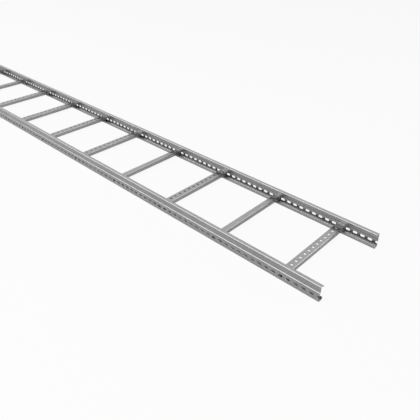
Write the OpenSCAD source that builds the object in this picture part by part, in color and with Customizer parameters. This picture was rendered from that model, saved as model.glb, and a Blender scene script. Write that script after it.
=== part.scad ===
// Cable ladder section: two slotted side rails of bent steel sheet, joined by channel rungs.
// X runs along the ladder, Y across it, Z up. The origin is under the middle, on the floor.

/* [Ladder] */
// Length of the section
ladder_length = 3000; // [500:250:6000]
// Width between the outer faces of the two upper webs
ladder_width = 318; // [200:1:620]
// Distance from rung to rung
rung_pitch = 250; // [150:50:400]

/* [Side rails] */
// Height of a side rail
rail_height = 52; // [45:1:110]
// Thickness of the sheet that the rails are bent from
rail_wall = 1.5; // [1:0.1:2.5]
// Inner radius of each bend in the rails
rail_bend = 1.5; // [0.5:0.1:3]
// Reach of the top flange, from the outer face of the upper web
top_flange = 13; // [10:0.5:25]
// Height of the lip turned down from the top flange
top_lip = 5.5; // [4.5:0.5:10]
// Reach of the bottom flange, from the outer face of the lower web
bottom_flange = 17; // [12:0.5:30]
// Height of the lip turned up from the bottom flange, which carries the rungs
bottom_lip = 8.5; // [5.5:0.5:10]
// How far the lower web stands out from the upper web
web_step = 2; // [1:0.1:3]
// Height of the middle of that step
step_level = 30.5; // [28:0.5:40]

/* [Rail slots] */
// Distance from slot to slot
slot_pitch = 25; // [20:1:50]
// Length of a slot, end to end
slot_length = 15; // [9:0.5:18]
// Width of a slot
slot_width = 8; // [5:0.5:10]
// Height of the row of slots above the floor
slot_level = 16.5; // [12:0.5:20]

/* [Rungs] */
// Thickness of the sheet that the rungs are bent from
rung_wall = 1.5; // [1:0.1:2.5]
// Inner radius of each bend in the rungs
rung_bend = 1.5; // [0.5:0.1:3]
// Height of a rung
rung_height = 15; // [12:0.5:20]
// Width of a perforated rung
perforated_width = 27; // [22:0.5:45]
// Width of a plain rung
plain_width = 20; // [15:0.5:40]

/* [Rung holes] */
// Distance from hole to hole along a perforated rung
hole_pitch = 21.6; // [15:0.1:40]
// Length of a hole, across the rung
hole_length = 10; // [7:0.5:16]
// Width of a hole, along the rung
hole_width = 7; // [4:0.5:9]
// Least sheet left between the last hole and the side rail
hole_margin = 20; // [10:1:40]

/* [Hidden] */
$fn = 48;
cut_extra = 1;
rail_corner = rail_bend + rail_wall;
rung_corner = rung_bend + rung_wall;
rung_count = floor(ladder_length / rung_pitch);
rung_length = ladder_width + 2 * web_step - 2 * rail_wall;
first_rung = -(rung_count - 1) * rung_pitch / 2;
// The rungs of one half, from the end to the middle: the second and the fourth are plain.
plain_places = [2, 4];
step_radius = rail_bend + rail_wall / 2;
step_angle = acos(1 - web_step / (2 * step_radius));
step_rise = step_radius * sin(step_angle);
slot_count = floor(ladder_length / slot_pitch) + 1;
first_slot = -(slot_count - 1) * slot_pitch / 2;
side_holes = floor((rung_length / 2 - hole_margin) / hole_pitch);

function rung_name(i) = str("rung_", i < 10 ? "0" : "", i);
function is_plain(i) = len(search(min(i, rung_count + 1 - i), plain_places)) > 0;

// A piece of ring of the sheet's thickness, from angle a to angle b about its centre.
module bend_arc(inner, wall, a, b) {
    reach = 2 * (inner + wall);
    intersection() {
        difference() {
            circle(inner + wall);
            circle(inner);
        }
        polygon([[0, 0], reach * [cos(a), sin(a)],
                 reach * [cos((a + b) / 2), sin((a + b) / 2)], reach * [cos(b), sin(b)]]);
    }
}

// Section of the rail's upper part: step, upper web, top flange and lip. Y is inward, Z is up.
module upper_section() {
    translate([rail_corner, rail_height - rail_corner])
        bend_arc(rail_bend, rail_wall, 90, 180);
    translate([rail_corner, rail_height - rail_wall])
        square([top_flange - 2 * rail_corner, rail_wall]);
    translate([top_flange - rail_corner, rail_height - rail_corner])
        bend_arc(rail_bend, rail_wall, 0, 90);
    translate([top_flange - rail_wall, rail_height - top_lip])
        square([rail_wall, top_lip - rail_corner]);
    translate([0, step_level + step_rise])
        square([rail_wall, rail_height - rail_corner - step_level - step_rise]);
    translate([rail_wall / 2 - step_radius, step_level + step_rise])
        bend_arc(rail_bend, rail_wall, -step_angle, 0);
}

// Section of the rail's lower part: step, lower web, bottom flange and lip.
module lower_section() {
    translate([rail_wall / 2 + step_radius - web_step, step_level - step_rise])
        bend_arc(rail_bend, rail_wall, 180 - step_angle, 180);
    translate([-web_step, rail_corner])
        square([rail_wall, step_level - step_rise - rail_corner]);
    translate([rail_corner - web_step, rail_corner])
        bend_arc(rail_bend, rail_wall, 180, 270);
    translate([rail_corner - web_step, 0])
        square([bottom_flange - 2 * rail_corner, rail_wall]);
    translate([bottom_flange - web_step - rail_corner, rail_corner])
        bend_arc(rail_bend, rail_wall, 270, 360);
    translate([bottom_flange - web_step - rail_wall, rail_corner])
        square([rail_wall, bottom_lip - rail_corner]);
}

// A slot with round ends, cut along Y, centred on the origin.
module slot_cut() {
    run = slot_length - slot_width;
    depth = rail_wall + 2 * cut_extra;
    for (side = [-1, 1])
        translate([side * run / 2, 0, 0])
            rotate([90, 0, 0])
                cylinder(d = slot_width, h = depth, center = true);
    cube([run, depth, slot_width], center = true);
}

// The rail on the -Y side. The rows of slots run out through both ends as half slots.
module side_rail() {
    difference() {
        translate([-ladder_length / 2, -ladder_width / 2, 0])
            rotate([90, 0, 90])
                linear_extrude(ladder_length)
                    union() {
                        upper_section();
                        lower_section();
                    }
        for (i = [0:slot_count - 1])
            translate([first_slot + i * slot_pitch,
                       rail_wall / 2 - web_step - ladder_width / 2, slot_level])
                slot_cut();
    }
}

// Section of a rung: a channel with its open side down. X is across the rung, Z is up.
module channel_section(width) {
    for (side = [0, 1])
        mirror([side, 0]) {
            translate([width / 2 - rung_wall, 0])
                square([rung_wall, rung_height - rung_corner]);
            translate([width / 2 - rung_corner, rung_height - rung_corner])
                bend_arc(rung_bend, rung_wall, 0, 90);
        }
    translate([rung_corner - width / 2, rung_height - rung_wall])
        square([width - 2 * rung_corner, rung_wall]);
}

// One hole through the back of a rung, longer across the rung than along it.
module rung_hole() {
    run = hole_length - hole_width;
    depth = rung_wall + 2 * cut_extra;
    for (side = [-1, 1])
        translate([side * run / 2, 0, 0])
            cylinder(d = hole_width, h = depth, center = true);
    cube([run, hole_width, depth], center = true);
}

module channel(width) {
    rotate([90, 0, 0])
        linear_extrude(rung_length, center = true)
            channel_section(width);
}

// A rung stands on the two bottom lips, between the lower webs.
module rung(i) {
    translate([first_rung + (i - 1) * rung_pitch, 0, bottom_lip])
        if (is_plain(i)) {
            channel(plain_width);
        } else {
            difference() {
                channel(perforated_width);
                for (k = [-side_holes:side_holes])
                    translate([0, k * hole_pitch, rung_height - rung_wall / 2])
                        rung_hole();
            }
        }
}

module side_rail_right() {
    color("silver") side_rail();
}

module side_rail_left() {
    color("silver") mirror([0, 1, 0]) side_rail();
}

side_rail_right();
side_rail_left();
for (i = [1:rung_count])
    color("lightgray") rung(i);
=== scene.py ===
from math import cos, pi, radians, sin

import bmesh
import bpy
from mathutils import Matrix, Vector


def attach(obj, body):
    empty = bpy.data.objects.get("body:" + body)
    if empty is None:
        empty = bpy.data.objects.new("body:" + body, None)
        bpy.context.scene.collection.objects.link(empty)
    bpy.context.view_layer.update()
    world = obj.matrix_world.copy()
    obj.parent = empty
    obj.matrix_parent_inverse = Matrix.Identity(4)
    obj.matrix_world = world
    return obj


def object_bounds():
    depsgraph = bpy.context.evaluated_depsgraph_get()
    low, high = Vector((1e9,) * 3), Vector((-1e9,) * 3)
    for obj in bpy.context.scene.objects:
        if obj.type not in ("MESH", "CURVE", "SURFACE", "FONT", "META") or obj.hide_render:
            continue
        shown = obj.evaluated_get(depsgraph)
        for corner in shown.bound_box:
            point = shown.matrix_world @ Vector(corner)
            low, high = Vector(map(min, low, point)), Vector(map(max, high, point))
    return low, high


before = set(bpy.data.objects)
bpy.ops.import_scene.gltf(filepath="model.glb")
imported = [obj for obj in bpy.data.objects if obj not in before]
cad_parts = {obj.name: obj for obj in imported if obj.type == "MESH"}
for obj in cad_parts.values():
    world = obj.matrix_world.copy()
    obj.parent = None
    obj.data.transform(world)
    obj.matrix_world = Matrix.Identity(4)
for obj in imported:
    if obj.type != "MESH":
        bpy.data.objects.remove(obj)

cad_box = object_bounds()

# ---- Studio ----
# A flat pale floor in an even white room, with a very large soft light hung level above the ladder
# and towards its front, and a smaller one low beyond its near end.
scene = bpy.context.scene
scene.view_settings.view_transform = "Standard"

end_x = cad_box[1][0]
camera_past_end, camera_side, camera_height = 0.4014, -0.9974, 0.8921
camera_down, camera_turn = 34.15, 43.4645

camera_data = bpy.data.cameras.new("camera")
camera_data.sensor_width = 36.0
camera_data.lens = 40.26
camera_data.clip_end = 60.0
camera = bpy.data.objects.new("camera", camera_data)
camera.location = (end_x + camera_past_end, camera_side, camera_height)
camera.rotation_euler = (radians(90 - camera_down), 0.0, radians(camera_turn))
scene.collection.objects.link(camera)
scene.camera = camera


def white_share(nodes, links, seen, mirrored):
    """How much of a surface shows as plain white, seen directly and mirrored in metal or glass."""
    path = nodes.new("ShaderNodeLightPath")
    factor = None
    for ray, share in (("Is Camera Ray", seen), ("Is Glossy Ray", mirrored),
                       ("Is Transmission Ray", mirrored)):
        scaled = nodes.new("ShaderNodeMath")
        scaled.operation = "MULTIPLY"
        scaled.inputs[1].default_value = share
        links.new(path.outputs[ray], scaled.inputs[0])
        if factor is None:
            factor = scaled.outputs[0]
            continue
        larger = nodes.new("ShaderNodeMath")
        larger.operation = "MAXIMUM"
        links.new(factor, larger.inputs[0])
        links.new(scaled.outputs[0], larger.inputs[1])
        factor = larger.outputs[0]
    return factor


room_light = 0.2
world = bpy.data.worlds.new("white_room")
scene.world = world
world.use_nodes = True
nodes, links = world.node_tree.nodes, world.node_tree.links
nodes.clear()
room_mix = nodes.new("ShaderNodeMixShader")
links.new(white_share(nodes, links, 1.0, 1.0), room_mix.inputs[0])
for socket, strength in ((1, room_light), (2, 1.0)):
    white = nodes.new("ShaderNodeBackground")
    white.inputs["Color"].default_value = (1.0, 1.0, 1.0, 1.0)
    white.inputs["Strength"].default_value = strength
    links.new(white.outputs[0], room_mix.inputs[socket])
room_out = nodes.new("ShaderNodeOutputWorld")
links.new(room_mix.outputs[0], room_out.inputs["Surface"])

floor_half = 30.0
floor_seen_white = 0.92
floor_mirrored_white = 0.25
floor_shade = 0.72
floor_mesh = bpy.data.meshes.new("floor")
floor_mesh.from_pydata([(-floor_half, -floor_half, 0.0), (floor_half, -floor_half, 0.0),
                        (floor_half, floor_half, 0.0), (-floor_half, floor_half, 0.0)],
                       [], [(0, 1, 2, 3)])
floor = bpy.data.objects.new("floor", floor_mesh)
scene.collection.objects.link(floor)
paper = bpy.data.materials.new("white_paper")
paper.use_nodes = True
nodes, links = paper.node_tree.nodes, paper.node_tree.links
nodes.clear()
paper_matt = nodes.new("ShaderNodeBsdfDiffuse")
paper_matt.inputs["Color"].default_value = (floor_shade, floor_shade, floor_shade, 1.0)
paper_white = nodes.new("ShaderNodeEmission")
paper_mix = nodes.new("ShaderNodeMixShader")
links.new(white_share(nodes, links, floor_seen_white, floor_mirrored_white), paper_mix.inputs[0])
links.new(paper_matt.outputs[0], paper_mix.inputs[1])
links.new(paper_white.outputs[0], paper_mix.inputs[2])
paper_out = nodes.new("ShaderNodeOutputMaterial")
links.new(paper_mix.outputs[0], paper_out.inputs["Surface"])
floor_mesh.materials.append(paper)

for name, place, target, size, watts in (
        ("overhead_softbox", (-1.0, -2.9, 3.0), (-1.0, -2.9, 0.0), (10.0, 4.6), 300.0),
        ("end_softbox", (4.6, 2.6, 1.2), (1.0, 0.0, 0.0), (4.0, 2.5), 60.0)):
    light = bpy.data.lights.new(name, "AREA")
    light.shape = "RECTANGLE"
    light.size, light.size_y = size
    light.energy = watts
    lamp = bpy.data.objects.new(name, light)
    lamp.location = place
    aim = Vector(target) - Vector(place)
    lamp.rotation_euler = aim.to_track_quat("-Z", "Y").to_euler()
    scene.collection.objects.link(lamp)

# ---- Side rails ----
# Each rail is one strip of galvanised sheet, punched with a row of slots, stepped along the
# middle of its web, and folded to a flange with a lip at the top and another at the bottom.


def galvanised_steel(name, shade, dullness, grain_stretch):
    """Zinc: fine crystals, faint cloudy stains, and drawing marks along the strip."""
    steel = bpy.data.materials.new(name)
    steel.use_nodes = True
    nodes, links = steel.node_tree.nodes, steel.node_tree.links
    surface = nodes["Principled BSDF"]
    surface.inputs["Metallic"].default_value = 0.92
    place = nodes.new("ShaderNodeTexCoord")
    along = nodes.new("ShaderNodeMapping")
    along.inputs["Scale"].default_value = grain_stretch
    links.new(place.outputs["Object"], along.inputs["Vector"])

    crystals = nodes.new("ShaderNodeTexVoronoi")
    crystals.inputs["Scale"].default_value = 220.0
    links.new(place.outputs["Object"], crystals.inputs["Vector"])
    crystal_tone = nodes.new("ShaderNodeSeparateColor")
    links.new(crystals.outputs["Color"], crystal_tone.inputs[0])
    stains = nodes.new("ShaderNodeTexNoise")
    stains.inputs["Scale"].default_value = 22.0
    stains.inputs["Detail"].default_value = 5.0
    links.new(place.outputs["Object"], stains.inputs["Vector"])
    marks = nodes.new("ShaderNodeTexNoise")
    marks.inputs["Scale"].default_value = 60.0
    marks.inputs["Detail"].default_value = 4.0
    links.new(along.outputs[0], marks.inputs["Vector"])

    def weighted(value, low, high):
        spread = nodes.new("ShaderNodeMapRange")
        spread.inputs["To Min"].default_value = low
        spread.inputs["To Max"].default_value = high
        links.new(value, spread.inputs["Value"])
        return spread.outputs[0]

    def combine(operation, first, second):
        step = nodes.new("ShaderNodeMath")
        step.operation = operation
        links.new(first, step.inputs[0])
        links.new(second, step.inputs[1])
        return step.outputs[0]

    tone = combine("MULTIPLY", weighted(crystal_tone.outputs[0], 0.95, 1.05),
                   weighted(stains.outputs["Fac"], 0.86, 1.14))
    tone = combine("MULTIPLY", tone, weighted(marks.outputs["Fac"], 0.96, 1.04))
    tint = nodes.new("ShaderNodeMix")
    tint.data_type = "RGBA"
    tint.blend_type = "MULTIPLY"
    tint.inputs["Factor"].default_value = 1.0
    tint.inputs["A"].default_value = (shade, shade, shade * 1.01, 1.0)
    links.new(tone, tint.inputs["B"])
    links.new(tint.outputs["Result"], surface.inputs["Base Color"])
    links.new(combine("ADD", weighted(stains.outputs["Fac"], dullness - 0.06, dullness + 0.06),
                      weighted(crystal_tone.outputs[1], -0.03, 0.03)), surface.inputs["Roughness"])

    edge = nodes.new("ShaderNodeBevel")
    edge.samples = 4
    edge.inputs["Radius"].default_value = 0.0003
    relief = nodes.new("ShaderNodeBump")
    relief.inputs["Strength"].default_value = 0.12
    relief.inputs["Distance"].default_value = 0.0001
    links.new(combine("ADD", marks.outputs["Fac"], crystal_tone.outputs[2]), relief.inputs["Height"])
    links.new(edge.outputs[0], relief.inputs["Normal"])
    links.new(relief.outputs[0], surface.inputs["Normal"])
    return steel


rail_steel = galvanised_steel("galvanised_rail", 0.36, 0.25, (0.04, 1.0, 1.0))
for rail in ("side_rail_right", "side_rail_left"):
    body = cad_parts[rail]
    body.data.materials.clear()
    body.data.materials.append(rail_steel)

# ---- Rungs ----
# Eight rungs are channels with a row of holes along the back, and four are narrower and plain.
# All are folded from galvanised sheet and stand open side down on the rails' bottom lips.
rung_steel = galvanised_steel("galvanised_rung", 0.36, 0.25, (1.0, 0.04, 1.0))
for name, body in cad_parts.items():
    if name.startswith("rung"):
        body.data.materials.clear()
        body.data.materials.append(rung_steel)

# ---- Welds ----
# Short fillet welds hold each rung to the two lower webs, one down each side of the channel.
# They are laid before the zinc bath, so they are zinc grey.
rung_count = 12
rung_pitch = 0.250
plain_rungs = (2, 4, 9, 11)
rung_end = 0.1595
perforated_half_width, plain_half_width = 0.0135, 0.0100
rung_bottom, rung_top = 0.0085, 0.0235
bead_size = 0.0014
bead_off = bead_size * 0.3
bead_sides = 8
bead_taper, bead_ripple = 0.35, 0.14
bead_margin = 0.002
ripple_step = 0.0013
weld_steel = galvanised_steel("galvanised_weld", 0.33, 0.45, (1.0, 1.0, 1.0))


def lay_bead(mesh, path):
    """A rounded, rippled run of weld metal along a path of points."""
    rings = []
    for i, centre in enumerate(path):
        ahead = (path[min(i + 1, len(path) - 1)] - path[max(i - 1, 0)]).normalized()
        side = ahead.cross(Vector((0.0, 1.0, 0.0))).normalized()
        up = side.cross(ahead)
        at_end = i in (0, len(path) - 1)
        size = bead_size * (bead_taper if at_end else 1.0 + bead_ripple * (-1) ** i)
        rings.append([mesh.verts.new(centre + size * (cos(2 * pi * k / bead_sides) * side
                                                      + sin(2 * pi * k / bead_sides) * up))
                      for k in range(bead_sides)])
    for low, high in zip(rings, rings[1:]):
        for k in range(bead_sides):
            after = (k + 1) % bead_sides
            mesh.faces.new((low[k], low[after], high[after], high[k]))
    mesh.faces.new(rings[0][::-1])
    mesh.faces.new(rings[-1])


for rung in range(1, rung_count + 1):
    x = (rung - (rung_count + 1) / 2) * rung_pitch
    half_width = plain_half_width if rung in plain_rungs else perforated_half_width
    low, high = rung_bottom + bead_margin, rung_top - bead_margin
    steps = int((high - low) / ripple_step)
    mesh = bmesh.new()
    for end in (-1, 1):
        y = end * (rung_end - bead_off)
        for side in (-1, 1):
            lay_bead(mesh, [Vector((x + side * (half_width + bead_off), y,
                                    low + (high - low) * i / steps)) for i in range(steps + 1)])
    bmesh.ops.recalc_face_normals(mesh, faces=mesh.faces)
    for face in mesh.faces:
        face.smooth = True
    weld_mesh = bpy.data.meshes.new(f"weld_{rung:02d}")
    mesh.to_mesh(weld_mesh)
    mesh.free()
    weld_mesh.materials.append(weld_steel)
    weld = bpy.data.objects.new(f"weld_{rung:02d}", weld_mesh)
    scene.collection.objects.link(weld)
    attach(weld, "root")
